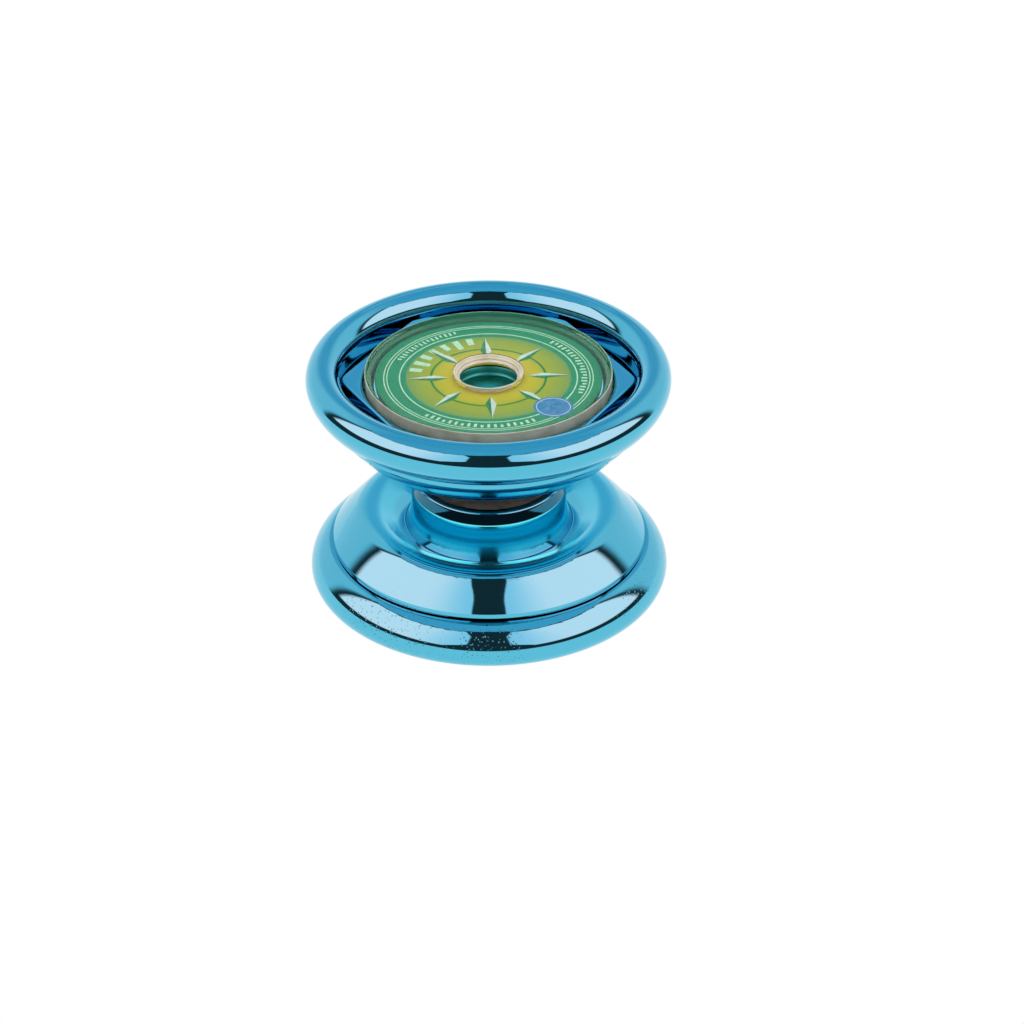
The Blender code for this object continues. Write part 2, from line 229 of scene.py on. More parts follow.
class Graph:
    """Short calls for building a node tree."""

    def __init__(self, tree):
        self.tree = tree

    def add(self, kind, inputs=None, **settings):
        node = self.tree.nodes.new(kind)
        for key, value in settings.items():
            setattr(node, key, value)
        for key, value in (inputs or {}).items():
            self.put(node.inputs[key], value)
        return node

    def put(self, socket, value):
        if isinstance(value, bpy.types.NodeSocket):
            self.tree.links.new(value, socket)
        else:
            socket.default_value = value

    def math(self, operation, *values):
        node = self.add("ShaderNodeMath", operation=operation)
        for socket, value in zip(node.inputs, values):
            self.put(socket, value)
        return node.outputs[0]

    def step(self, value, low, high):
        """0 below low, 1 above high, smooth between."""
        node = self.add("ShaderNodeMapRange", interpolation_type="SMOOTHSTEP")
        for key, item in (("Value", value), ("From Min", low), ("From Max", high)):
            self.put(node.inputs[key], item)
        return node.outputs["Result"]

    def mix(self, factor, first, second):
        node = self.add("ShaderNodeMix", data_type="RGBA")
        for index, item in ((0, factor), (6, first), (7, second)):
            self.put(node.inputs[index], item)
        return node.outputs[2]

    def ramp(self, value, stops):
        node = self.add("ShaderNodeValToRGB")
        while len(node.color_ramp.elements) < len(stops):
            node.color_ramp.elements.new(1.0)
        for element, (place, colour) in zip(node.color_ramp.elements, stops):
            element.position = place
            element.color = (*colour, 1.0)
        self.put(node.inputs[0], value)
        return node.outputs[0]


def rgba(colour):
    return (*colour, 1.0)


def new_material(name, **sockets):
    """A Principled material; returns it with its graph and its shader."""
    material = bpy.data.materials.new(name)
    material.use_nodes = True
    graph = Graph(material.node_tree)
    shader = material.node_tree.nodes["Principled BSDF"]
    for key, value in sockets.items():
        shader.inputs[key.replace("_", " ")].default_value = value
    return material, graph, shader


# Zones of the body's painted highlight, painted shade and satin, in millimetres: distance from the axle,
# height from the gap's middle
HUB_ZONE_HEIGHT = (2.8, 3.1)
HUB_ZONE_EDGE = (12.3, 12.9)
CHAMFER_ZONE_LOW = (1.2, 1.45)
CHAMFER_ZONE_HIGH = (2.85, 3.05)
CHAMFER_ZONE_INNER = (11.2, 11.4)
SATIN_ZONE_INNER = (14.2, 15.6)
SATIN_ZONE_OUTER = (19.0, 20.0)


def fade(graph, value, zone):
    """0 before a zone given in millimetres, 1 after it."""
    return graph.step(value, zone[0] * MM, zone[1] * MM)


def chrome(name, colour, roughness, waviness, pits, body=False):
    """Mirror-bright plating: slow waves, a few pits and dust specks, and faint wipe marks.

    On the body a painted highlight lightens the hub's wall, a painted shade darkens the hub's chamfer,
    and the valley round the hub is satin: rougher, with a painted sheen that lightens its colour.
    """
    material, graph, shader = new_material(name, Metallic=1.0)
    place = graph.add("ShaderNodeTexCoord").outputs["Object"]
    waves = graph.add("ShaderNodeTexNoise", {"Vector": place, "Scale": 330.0, "Detail": 1.5}).outputs[0]
    grain = graph.add("ShaderNodeTexNoise", {"Vector": place, "Scale": 2600.0, "Detail": 2.0}).outputs[0]
    patches = graph.add("ShaderNodeTexNoise", {"Vector": place, "Scale": 60.0, "Detail": 2.0}).outputs[0]
    cells = graph.add("ShaderNodeTexVoronoi", {"Vector": place, "Scale": 1900.0})
    toward = graph.add("ShaderNodeVectorMath", {0: place, 1: WORN_SIDE},
                       operation="DOT_PRODUCT").outputs["Value"]
    worn = graph.math("MULTIPLY", graph.step(toward, 0.45, 0.8), 0.36)
    core = graph.math("SUBTRACT", 1.0, graph.step(cells.outputs["Distance"], 0.1, 0.3))
    speck = graph.math("MULTIPLY", core,
                       graph.step(graph.math("ADD", patches, worn), 0.66 - 0.06 * pits, 0.8))
    wipe = graph.step(patches, 0.45, 0.75)

    plating = rgba(colour)
    satin = 0.0
    if body:
        radius = radius_and_place(graph)[0]
        upright = graph.add("ShaderNodeSeparateXYZ", {"Vector": place}).outputs[2]
        away = graph.math("ABSOLUTE", graph.math("SUBTRACT", upright, MIDDLE))
        hub = graph.math("MULTIPLY", fade(graph, away, HUB_ZONE_HEIGHT),
                         graph.math("SUBTRACT", 1.0, fade(graph, radius, HUB_ZONE_EDGE)))
        # painted highlight: the hub's wall is lightened where the chrome mirrors bright light
        plating = graph.mix(hub, plating, rgba(HUB_PAINTED_HIGHLIGHT_BLUE))
        chamfer = graph.math("MULTIPLY", fade(graph, away, CHAMFER_ZONE_LOW),
                             graph.math("MULTIPLY", fade(graph, radius, CHAMFER_ZONE_INNER),
                                        graph.math("SUBTRACT", 1.0, fade(graph, away, CHAMFER_ZONE_HIGH))))
        # painted shade: the hub's chamfer is darkened where the chrome mirrors the dark gap between the
        # halves
        plating = graph.mix(chamfer, plating, rgba(CHAMFER_PAINTED_SHADE_BLUE))
        satin = graph.math("MULTIPLY", fade(graph, radius, SATIN_ZONE_INNER),
                           graph.math("SUBTRACT", 1.0, fade(graph, radius, SATIN_ZONE_OUTER)))
        # painted sheen: the satin valley's colour is lightened as well as its roughness raised
        plating = graph.mix(satin, plating, rgba(SATIN_PAINTED_SHEEN_BLUE))
    graph.put(shader.inputs["Base Color"],
              graph.mix(graph.math("MULTIPLY", speck, 0.55 * pits), plating,
                        rgba([0.25 * c for c in colour])))
    rough = graph.math("MULTIPLY_ADD", wipe, 0.02, roughness)
    rough = graph.math("MULTIPLY_ADD", satin, 0.16, rough)
    graph.put(shader.inputs["Roughness"], graph.math("MULTIPLY_ADD", speck, 0.25 * pits, rough))

    first = graph.add("ShaderNodeBump", {"Height": waves, "Strength": 1.0, "Distance": waviness * MM})
    second = graph.add("ShaderNodeBump", {"Height": grain, "Strength": 1.0, "Distance": 0.0006 * MM,
                                          "Normal": first.outputs[0]})
    third = graph.add("ShaderNodeBump", {"Height": speck, "Strength": 1.0, "Distance": -0.012 * pits * MM,
                                         "Normal": second.outputs[0]})
    graph.put(shader.inputs["Normal"], third.outputs[0])
    return material


def object_place(graph):
    return graph.add("ShaderNodeTexCoord").outputs["Object"]


def radius_and_place(graph):
    """Distance from the axle in metres, and the place in the piece."""
    place = object_place(graph)
    flat = graph.add("ShaderNodeVectorMath", {0: place, 1: (1.0, 1.0, 0.0)}, operation="MULTIPLY")
    length = graph.add("ShaderNodeVectorMath", {0: flat.outputs[0]}, operation="LENGTH")
    return length.outputs["Value"], place


def noise(graph, place, scale, detail=2.0):
    return graph.add("ShaderNodeTexNoise", {"Vector": place, "Scale": scale, "Detail": detail}).outputs[0]


def bump(graph, height, depth):
    inputs = {"Height": height, "Strength": 1.0, "Distance": depth * MM}
    return graph.add("ShaderNodeBump", inputs).outputs[0]


def turned_metal(name, colour, roughness, line_depth, streak):
    """Turned and ground metal: fine rings round the axle, faint stains and a few scratches."""
    material, graph, shader = new_material(name, Metallic=1.0)
    radius, place = radius_and_place(graph)
    upright = graph.add("ShaderNodeSeparateXYZ", {"Vector": place}).outputs[2]
    rings = graph.add("ShaderNodeCombineXYZ", {"X": radius, "Y": upright}).outputs[0]
    lines = noise(graph, rings, 9000.0, 3.0)
    stains = noise(graph, place, 450.0, 3.0)
    shade = graph.math("MULTIPLY", graph.step(stains, 0.45, 0.75), streak)
    graph.put(shader.inputs["Base Color"],
              graph.mix(shade, rgba(colour), rgba([0.55 * c for c in colour])))
    rough = graph.math("MULTIPLY_ADD", lines, 0.12, roughness)
    graph.put(shader.inputs["Roughness"], graph.math("MULTIPLY_ADD", shade, 0.15, rough))
    graph.put(shader.inputs["Normal"], bump(graph, lines, line_depth))
    return material


def silicone(name, colour, dark):
    """Matt silicone: fine grain, darker where the string has rubbed it."""
    material, graph, shader = new_material(name)
    shader.inputs["Specular IOR Level"].default_value = 0.15
    place = object_place(graph)
    grain = noise(graph, place, 3800.0, 4.0)
    rubbed = graph.step(noise(graph, place, 420.0, 3.0), 0.4, 0.7)
    graph.put(shader.inputs["Base Color"], graph.mix(rubbed, rgba(colour), rgba(dark)))
    graph.put(shader.inputs["Roughness"], graph.math("MULTIPLY_ADD", grain, 0.2, 0.55))
    graph.put(shader.inputs["Normal"], bump(graph, grain, 0.02))
    return material


def clear_plastic(name):
    """Moulded lens: very slightly yellow, with soft waves, dust and hairline scratches."""
    material, graph, shader = new_material(name, Transmission_Weight=1.0)
    shader.inputs["IOR"].default_value = 1.18
    shader.inputs["Specular IOR Level"].default_value = 0.05
    place = object_place(graph)
    dust = graph.step(noise(graph, place, 2400.0, 3.0), 0.68, 0.76)
    haze = noise(graph, place, 240.0, 2.0)
    graph.put(shader.inputs["Base Color"],
              graph.mix(haze, rgba((0.985, 0.99, 0.95)), rgba((0.965, 0.98, 0.92))))
    graph.put(shader.inputs["Roughness"], graph.math("MULTIPLY_ADD", dust, 0.2, 0.012))
    graph.put(shader.inputs["Normal"], bump(graph, haze, 0.01))
    return material


def frosted_plastic(name):
    """Matt moulded edge of the lens: milky, with fine tool marks round it.  Its inner wall is painted the
    green of the label, a painted image of the label as seen through the clear plastic."""
    material, graph, shader = new_material(name, Transmission_Weight=0.5)
    shader.inputs["IOR"].default_value = 1.3
    shader.inputs["Specular IOR Level"].default_value = 0.4
    radius, place = radius_and_place(graph)
    upright = graph.add("ShaderNodeSeparateXYZ", {"Vector": place}).outputs[2]
    rings = graph.add("ShaderNodeCombineXYZ", {"X": radius, "Y": upright}).outputs[0]
    marks = noise(graph, rings, 5200.0, 3.0)
    cloud = graph.step(noise(graph, place, 300.0, 3.0), 0.35, 0.7)
    pale = graph.mix(cloud, rgba((0.84, 0.78, 0.66)), rgba((0.66, 0.57, 0.43)))
    # painted see-through image: the inner wall is painted the green of the label that would show through the
    # clear edge
    painted_label_image = graph.math("MULTIPLY", fade(graph, radius, (17.4, 17.5)),
                            graph.math("SUBTRACT", 1.0, fade(graph, radius, (18.8, 18.9))))
    graph.put(shader.inputs["Base Color"], graph.mix(painted_label_image, pale, rgba((0.02, 0.32, 0.16))))
    graph.put(shader.inputs["Roughness"], graph.math("MULTIPLY_ADD", marks, 0.2, 0.1))
    graph.put(shader.inputs["Normal"], bump(graph, marks, 0.008))
    return material


def printed_card(name):
    """Label: bands of print by distance from the axle, with a fine halftone grain."""
    material, graph, shader = new_material(name)
    shader.inputs["Specular IOR Level"].default_value = 0.0
    radius, place = radius_and_place(graph)
    stops = [(5.0, (0.62, 0.48, 0.0)), (7.0, (0.52, 0.46, 0.0)), (8.62, (0.38, 0.40, 0.0)),
             (8.66, LINE_GREEN), (9.0, LINE_GREEN), (9.04, (0.33, 0.38, 0.004)), (11.0, (0.26, 0.35, 0.03)),
             (12.5, (0.17, 0.31, 0.06)), (12.75, (0.0, 0.25, 0.125)), (16.6, (0.0, 0.24, 0.12)),
             (LABEL_RADIUS, (0.0, 0.21, 0.10))]
    share = graph.math("DIVIDE", radius, LABEL_RADIUS * MM)
    colour = graph.ramp(share, [(r / LABEL_RADIUS, tint) for r, tint in stops])
    cells = graph.add("ShaderNodeTexVoronoi", {"Vector": place, "Scale": 5200.0}).outputs["Distance"]
    screen = graph.math("MULTIPLY", graph.step(cells, 0.25, 0.55), 0.04)
    paper = noise(graph, place, 900.0, 4.0)
    colour = graph.mix(screen, colour, rgba((0.2, 0.6, 0.42)))
    graph.put(shader.inputs["Base Color"], colour)
    graph.put(shader.inputs["Roughness"], graph.math("MULTIPLY_ADD", paper, 0.2, 0.3))
    graph.put(shader.inputs["Normal"], bump(graph, paper, 0.003))
    return material


def ink(name, colour, second, roughness=0.4):
    """Screen-printed ink with a mottled edge-to-edge tone."""
    material, graph, shader = new_material(name)
    shader.inputs["Specular IOR Level"].default_value = 0.0
    place = object_place(graph)
    mottle = graph.step(noise(graph, place, 1500.0, 4.0), 0.35, 0.7)
    graph.put(shader.inputs["Base Color"], graph.mix(mottle, rgba(colour), rgba(second)))
    graph.put(shader.inputs["Roughness"], graph.math("MULTIPLY_ADD", mottle, 0.2, roughness))
    graph.put(shader.inputs["Normal"], bump(graph, mottle, 0.002))
    return material


# ---------------------------------------------------------------- pieces of one half

# Rim: lip, bulging flank and step, as in the CAD
RIM_WIDEST = 16.5
LIP_RADIUS = 25.25
LIP_FLAT = 0.3
LIP_INNER = 22.7
WELL_RADIUS = 23.2
WELL_TOP = 16.0
FLANK_PULL = (27.9, 14.6)
FLANK_TURN = (26.3, 13.1)
STEP_PULL = (25.6, 12.45)
STEP_RADIUS = 25.0

# Body: catch zone with its bulge and valley, bead, hub
DOME_EDGE = 11.1
DOME_PULL = (22.45, 8.6)
DOME_TURN = (20.8, 7.05)
CREST_CENTRE = (18.44, 9.49)
CREST_RADIUS = 3.4
CREST_ARC = (-44.0, -121.8)
VALLEY_FOOT = (13.3, 8.8)
BEAD = (13.1, 8.9)
HUB_FLARE = (12.15, 7.2)
HUB_FOOT = (12.05, 5.0)
HUB_SHOULDER = (12.0, 3.0)
HUB_EDGE = (11.5, 1.35)
HUB_EDGE_PULL = (11.4, 1.05)
FACE_EDGE = 11.1
FACE_RADIUS = 10.4
GROOVE_INNER = 7.1
GROOVE_TOP = 2.4
POCKET = (10.8, 4.5)                               # radius and floor of the pocket under the deck
BOSS_RADIUS = 6.5
HOLLOW = (16.8, 22.0, 8.7)                         # inner and outer radius and floor of the hollow
HOLLOW_SLOPE = (1.4, 1.3)
BEARING_POCKET = (6.65, 2.9)
FLANGE_POCKET = (4.6, 3.9)
NUT_POCKET = (5.3, 4.7, 9.3)                       # radius, floor and mouth
AXLE_HOLE = 2.3


def rim_profile():
    crest = LIP_TOP - RIM_WIDEST
    outer_lip = arc((LIP_RADIUS, RIM_WIDEST), (RIM_RADIUS - LIP_RADIUS, crest), 84, 0, 24)
    inner_lip = arc((LIP_RADIUS, RIM_WIDEST), (LIP_RADIUS - LIP_INNER, crest), 180, 97, 20)
    flank = sweep((RIM_RADIUS, RIM_WIDEST), FLANK_PULL, FLANK_TURN, 16)
    step = sweep(FLANK_TURN, STEP_PULL, (STEP_RADIUS, RIM_FOOT), 10)
    flat = [(LIP_RADIUS - LIP_FLAT, LIP_TOP), (LIP_RADIUS + LIP_FLAT, LIP_TOP)]
    wall = [(WELL_RADIUS, RIM_FOOT), (WELL_RADIUS, WELL_TOP)]
    return flat + outer_lip + flank[1:] + step[1:] + wall + inner_lip


def body_profile():
    inner, outer, floor = HOLLOW
    seat = [(POCKET[0], SEAT_HEIGHT), (inner, SEAT_HEIGHT), (inner, floor), (outer - HOLLOW_SLOPE[0], floor),
            (outer, floor + HOLLOW_SLOPE[1]), (outer, SEAT_HEIGHT), (DOME_RADIUS, SEAT_HEIGHT)]
    dome = sweep((DOME_RADIUS, DOME_EDGE), DOME_PULL, DOME_TURN, 18)
    crest = arc(CREST_CENTRE, (CREST_RADIUS, CREST_RADIUS), *CREST_ARC, 28)
    bead = sweep(VALLEY_FOOT, (BEAD[0], VALLEY_FOOT[1] - 0.1), BEAD, 5)
    flare = sweep(BEAD, HUB_FLARE, HUB_FOOT, 14)
    hub = sweep(HUB_FOOT, (12.04, 3.4), HUB_SHOULDER, 8)
    cone = sweep(HUB_SHOULDER, (11.76, 2.3), HUB_EDGE, 10)[1:-1]
    edge = sweep(HUB_EDGE, HUB_EDGE_PULL, (FACE_EDGE, FACE_HEIGHT), 8)
    nut_radius, nut_floor, nut_mouth = NUT_POCKET
    seats = [(FACE_RADIUS, FACE_HEIGHT), (FACE_RADIUS, GROOVE_TOP), (GROOVE_INNER, GROOVE_TOP),
             (GROOVE_INNER, FACE_HEIGHT), (BEARING_POCKET[0], FACE_HEIGHT), BEARING_POCKET,
             (FLANGE_POCKET[0], BEARING_POCKET[1]), FLANGE_POCKET, (AXLE_HOLE, FLANGE_POCKET[1]),
             (AXLE_HOLE, nut_floor), (nut_radius, nut_floor), (nut_radius, nut_mouth),
             (BOSS_RADIUS, nut_mouth), (BOSS_RADIUS, POCKET[1]), POCKET]
    return seat + dome + crest + bead + flare[1:] + hub[1:] + cone + edge + seats


def place(item, body, node, slot):
    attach(item, body)
    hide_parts(node)


def hexagon(angles, flat, corners=40):
    """Radius of a six-sided outline with softly rounded corners at 0, 60, ... degrees."""
    total = 0.0
    for k in range(6):
        total = total + np.maximum(0.0, np.cos(angles - math.radians(30 + 60 * k))) ** corners
    return flat / total ** (1 / corners)


# Deck: moat, hexagonal platform, lens channel, table and well
PLATFORM_FLAT = 20.0
MOAT_FLOOR = 13.2
EYE_RADIUS = 5.8
EYE_FLOOR = 13.5


def add_deck(side, matrix, looks):
    """Rows of (radius, height, share of hexagon, largest radius) from the middle of the well outwards."""
    top = PLATFORM_TOP
    rows = [(0.0, EYE_FLOOR - 0.25, 0, 23), (0.9, EYE_FLOOR - 0.24, 0, 23), (1.25, EYE_FLOOR - 0.06, 0, 23),
            (1.5, EYE_FLOOR, 0, 23), (3.6, EYE_FLOOR, 0, 23), (3.85, EYE_FLOOR + 0.06, 0, 23),
            (4.1, EYE_FLOOR + 0.12, 0, 23), (5.0, EYE_FLOOR + 0.12, 0, 23), (5.45, EYE_FLOOR + 0.2, 0, 23),
            (5.7, EYE_FLOOR + 0.45, 0, 23), (EYE_RADIUS, EYE_FLOOR + 0.8, 0, 23), (EYE_RADIUS, 15.1, 0, 23),
            (5.88, 15.32, 0, 23), (6.1, 15.4, 0, 23), (17.2, 15.4, 0, 23), (17.5, 15.3, 0, 23),
            (17.6, 15.0, 0, 23), (17.62, 14.75, 0, 23), (17.8, 14.6, 0, 23), (19.1, 14.6, 0, 23),
            (19.28, 14.75, 0, 23), (19.3, 15.0, 0, 23), (19.3, 15.8, 0, 23), (19.36, 16.0, 0, 23),
            (19.5, top - 0.01, 0.0, 23), (19.6, top, 0.6, 22.2)]
    for angle in np.linspace(0, 90, 7):
        out, up = math.sin(math.radians(angle)), math.cos(math.radians(angle))
        rows.append((19.6 + 0.4 * out, top - 0.4 + 0.4 * up, 1, 22.25 + 0.3 * out))
    for t in np.linspace(0.15, 1, 6):
        rows.append((PLATFORM_FLAT + 0.25 * t, top - 0.4 - 2.1 * t, 1, 22.55 + 0.05 * t))
    for angle in np.linspace(15, 90, 6):
        across, down = math.cos(math.radians(angle)), math.sin(math.radians(angle))
        rows.append((20.65 - 0.4 * across, MOAT_FLOOR + 0.4 - 0.4 * down, 1, 22.7))
    rows += [(22.78, MOAT_FLOOR, 0, 23), (DECK_RADIUS, MOAT_FLOOR - 0.1, 0, 23),
             (DECK_RADIUS, DECK_FOOT + 0.1, 0, 23), (DECK_RADIUS - 0.1, DECK_FOOT, 0, 23),
             (0.0, DECK_FOOT, 0, 23)]
    table = np.array(rows)
    share, limit = table[:, 2:3], table[:, 3:4]

    def shape(angles, radii, heights):
        sides = hexagon(angles, PLATFORM_FLAT) / PLATFORM_FLAT
        return np.minimum(radii * (1 + share * (sides - 1)), limit), heights

    deck = turned(side + "_deck_plate", table[:, :2], matrix, looks["chrome_deck"], 360, shape, sharp=40)
    place(deck, side + "_half", side + "_deck", "blue_plated_plastic")

    low = EYE_FLOOR + 0.13
    brim = 15.25
    profile = [(0.0, low + 0.1), (1.6, low + 0.1), (1.8, low + 0.2), (4.6, low + 0.2), (4.95, low + 0.27),
               (5.15, low + 0.45), (5.25, low + 0.8), (5.3, brim - 0.1), (5.38, brim), (5.52, brim),
               (5.6, brim - 0.1), (5.6, low + 0.7), (5.35, low + 0.4), (4.9, low), (0.0, low)]
    # painted reflection: the cap's teal stands in for the green label mirrored in the blue floor of the well
    cap = turned(side + "_deck_cap", profile, matrix, looks["teal"], 120, sharp=50)
    place(cap, side + "_half", side + "_deck", "blue_plated_plastic")


def add_lens(side, matrix, looks):
    """Clear disc, with the matt skirt under its edge and the matt collar round its hole."""
    under, skirt = 16.3, 17.9
    hole_top, hole_foot, collar = 5.1, 4.4, 5.45
    edge_inner = LENS_RADIUS - 0.32
    pieces = (
        ("_lens_disc", "lens", 0.12, [(collar, LENS_TOP - 0.05), (edge_inner - 0.02, LENS_TOP - 0.05),
                                      (edge_inner - 0.02, under), (collar, under)]),
        ("_lens_skirt", "frosted", 0.3, [
            (edge_inner, LENS_TOP), (LENS_RADIUS, LENS_TOP), (LENS_RADIUS, LENS_FOOT),
            (skirt, LENS_FOOT), (skirt, under - 0.1), (edge_inner, under - 0.1)]),
        ("_lens_collar", "frosted", 0.14, [
            (hole_top + 0.02, LENS_TOP - 0.05), (collar - 0.02, LENS_TOP - 0.05), (collar - 0.02, under),
            (hole_foot, under), (hole_foot, under + 0.3), (hole_foot + 0.3, under + 0.45),
            (hole_foot + 0.3, under + 0.75), (hole_top - 0.15, under + 0.85)]),
    )
    for suffix, look, edge, corners in pieces:
        lens = turned(side + suffix, rounded(corners, edge, 6), matrix, looks[look], 240, sharp=60)
        place(lens, side + "_half", side + "_lens", "clear_lens")


def ring_outline(inner, outer, start, end, count=8):
    """Outline of a piece of a flat ring, anticlockwise."""
    angles = np.radians(np.linspace(start, end, count))
    out = [(outer * math.cos(a), outer * math.sin(a)) for a in angles]
    back = [(inner * math.cos(a), inner * math.sin(a)) for a in reversed(angles)]
    return out + back


# Print on the label; radii in millimetres, angles in degrees
PRINT_RINGS = ((15.92, 16.08), (15.45, 15.6), (13.5, 13.7))
DARTS = 8
DART_TURN = 3.0
DART = (6.1, 8.3, 12.4, 0.85)                     # foot, widest place, tip, half width
MARKS = ((110, 160, 16), (-20, 50, 20), (-130, -60, 18))   # arcs of plain marks in the green band
BARS = (100, 175, 7)                              # arc of plain bars inside the ring
BADGE = (13.4, -42.7, 3.0)                        # distance, angle and radius of the round badge


def add_label(side, matrix, looks):
    low, high = LABEL_LOW, LABEL_TOP
    paper = high - 0.04
    hole = 5.0
    corners = [(hole, paper), (LABEL_RADIUS, paper), (LABEL_RADIUS, low), (hole, low)]
    card = turned(side + "_label_card", rounded(corners, 0.06, 3), matrix, looks["card"], 192)
    place(card, side + "_half", side + "_label", "printed_label")

    for i, (inner, outer) in enumerate(PRINT_RINGS):
        profile = [(inner, high - 0.01), (outer, high - 0.01), (outer, low + 0.1), (inner, low + 0.1)]
        ring = turned("{}_label_line_{}".format(side, i + 1), profile, matrix, looks["ink_line"], 192)
        place(ring, side + "_half", side + "_label", "printed_label")

    outlines, picks = [], []
    foot, wide, tip, half = DART
    for k in range(DARTS):
        angle = math.radians(DART_TURN + 360 / DARTS * k)
        along, across = (math.cos(angle), math.sin(angle)), (-math.sin(angle), math.cos(angle))

        def at(distance, offset):
            return (along[0] * distance + across[0] * offset, along[1] * distance + across[1] * offset)

        outlines.append([at(foot, 0), at(wide, -half), at(tip, 0)])
        outlines.append([at(foot, 0), at(tip, 0), at(wide, half)])
        turned_away = math.cos(angle) * math.cos(math.radians(20)) < 0
        picks += [0, 1] if not turned_away else [1, 0]
    darts = prisms(side + "_label_darts", outlines, low + 0.1, high - 0.012, matrix,
                   [looks["ink_green"], looks["ink_silver"]], picks)
    place(darts, side + "_half", side + "_label", "printed_label")

    outlines = []
    for start, end, count in MARKS:
        pitch = (end - start) / count
        for k in range(count):
            inner = 14.2 if k % 3 else 14.45
            outlines.append(ring_outline(inner, 15.1, start + pitch * (k + 0.2),
                                         start + pitch * (k + 0.62), 3))
    start, end, count = BARS
    pitch = (end - start) / count
    for k in range(count):
        inner, outer = (9.7, 12.3) if k % 2 else (10.4, 12.3)
        outlines.append(ring_outline(inner, outer, start + pitch * (k + 0.22), start + pitch * (k + 0.7), 4))
    marks = prisms(side + "_label_marks", outlines, low + 0.1, high - 0.015, matrix, [looks["ink_line"]],
                   [0] * len(outlines))
    place(marks, side + "_half", side + "_label", "printed_label")

    distance, angle, radius = BADGE
    angle = math.radians(angle)
    centre = Matrix.Translation((distance * math.cos(angle), distance * math.sin(angle), 0))
    face = high - 0.005
    profile = [(0.0, face), (radius - 0.05, face), (radius, face - 0.004), (radius, low + 0.1),
               (0.0, low + 0.1)]
    badge = turned(side + "_label_badge", profile, matrix @ centre, looks["ink_blue"], 64)
    place(badge, side + "_half", side + "_label", "printed_label")
    profile = [(radius - 0.5, high), (radius - 0.38, high), (radius - 0.38, low + 0.1),
               (radius - 0.5, low + 0.1)]
    line = turned(side + "_label_badge_ring", profile, matrix @ centre, looks["ink_silver"], 64)
    place(line, side + "_half", side + "_label", "printed_label")


# Thread of the axle and the nuts
THREAD_PITCH = 0.7
THREAD_DEPTH = 0.3
AXLE_CHAMFER = 0.4
BORE_RADIUS = 2.3


def thread(angles, heights):
    """0 on the crest of the thread, 1 in its root."""
    phase = (heights / THREAD_PITCH - angles / math.tau) % 1.0
    return np.clip(2.4 * np.abs(phase - 0.5) * 2 - 0.6, 0.0, 1.0)


def add_axle(material):
    end = AXLE_TOP - 0.001
    rows = np.linspace(end, -end, int(2 * end / THREAD_PITCH * 10))
    profile = [(0.0, end), *[(AXLE_RADIUS, z) for z in rows], (0.0, -end)]

    def shape(angles, radii, heights):
        cut = radii - THREAD_DEPTH * thread(angles, heights)
        chamfer = AXLE_RADIUS - AXLE_CHAMFER + (end - np.abs(heights))
        return np.where(radii > 0, np.minimum(cut, np.maximum(chamfer, 1.5)), 0.0), heights

    rod = turned("axle_rod", profile, half_matrix("upper"), material, 48, shape, sharp=50)
    place(rod, "lower_half", "axle", "steel")


def add_nut(side, matrix, material):
    low, high = NUT_LOW, NUT_TOP
    flat = NUT_CORNER * math.cos(math.pi / 6)
    outer = [(NUT_CORNER, high - 0.45 + 0.45 * t) for t in (1, 0.66, 0.33, 0)]
    outer += [(NUT_CORNER, low + 0.45 * t) for t in (1, 0.66, 0.33, 0)]
    bore = [(BORE_RADIUS, z) for z in np.linspace(low, high, 46)]
    profile = [(BORE_RADIUS + 0.25, high), *outer, (BORE_RADIUS + 0.25, low), *bore[1:-1]]

    def shape(angles, radii, heights):
        edge = np.minimum(heights - low, high - heights)
        six = np.minimum(hexagon(angles, flat, 90), flat + 0.25 + 0.9 * edge)
        groove = BORE_RADIUS + 0.18 * thread(angles, heights)
        outside = radii > 4
        inside = radii < BORE_RADIUS + 0.1
        return np.where(outside, six, np.where(inside, groove, radii)), heights

    nut = turned(side + "_hex_nut", profile, matrix, material, 96, shape, sharp=28)
    place(nut, side + "_half", side + "_axle_nut", "brass")


def add_half(side, looks):
    matrix = half_matrix(side)
    body = side + "_half"
    rim = turned(side + "_rim_ring", rim_profile(), matrix, looks["chrome"])
    place(rim, body, side + "_rim", "blue_metal")
    shell = turned(side + "_body_shell", body_profile(), matrix, looks["chrome_body"])
    place(shell, body, side + "_body", "blue_metal")
    add_deck(side, matrix, looks)
    add_lens(side, matrix, looks)
    add_label(side, matrix, looks)
    add_nut(side, matrix, looks["brass"])

    inner = GROOVE_INNER + 0.3
    corners = [(inner, PAD_TOP), (PAD_RADIUS, PAD_TOP), (PAD_RADIUS, PAD_LOW), (inner, PAD_LOW)]
    pad = turned(side + "_pad_ring", rounded(corners, 0.22, 5), matrix, looks["silicone"], 144, sharp=60)
    place(pad, body, side + "_response_pad", "cream_silicone")

    sleeve = 2.875
    flange_foot = 2.68
    corners = [(BORE_RADIUS, FLANGE_TOP), (FLANGE_RADIUS, FLANGE_TOP), (FLANGE_RADIUS, flange_foot),
               (sleeve, flange_foot), (sleeve, SLEEVE_FOOT), (BORE_RADIUS, SLEEVE_FOOT)]
    seat = turned(side + "_bearing_seat", rounded(corners, 0.1, 4), matrix, looks["steel"], 96, sharp=50)
    place(seat, "upper_seat" if side == "upper" else body, side + "_spacer", "steel")


# ---------------------------------------------------------------- bearing

PITCH_CIRCLE = 4.7625
BALL_RADIUS = 0.75
TRACK_RADIUS = 0.85
INNER_SHOULDER = 4.25
OUTER_SHOULDER = 5.3
SHIELD_STEP = (5.75, 1.7)
RACE_BORE = 3.175
BALLS = 8


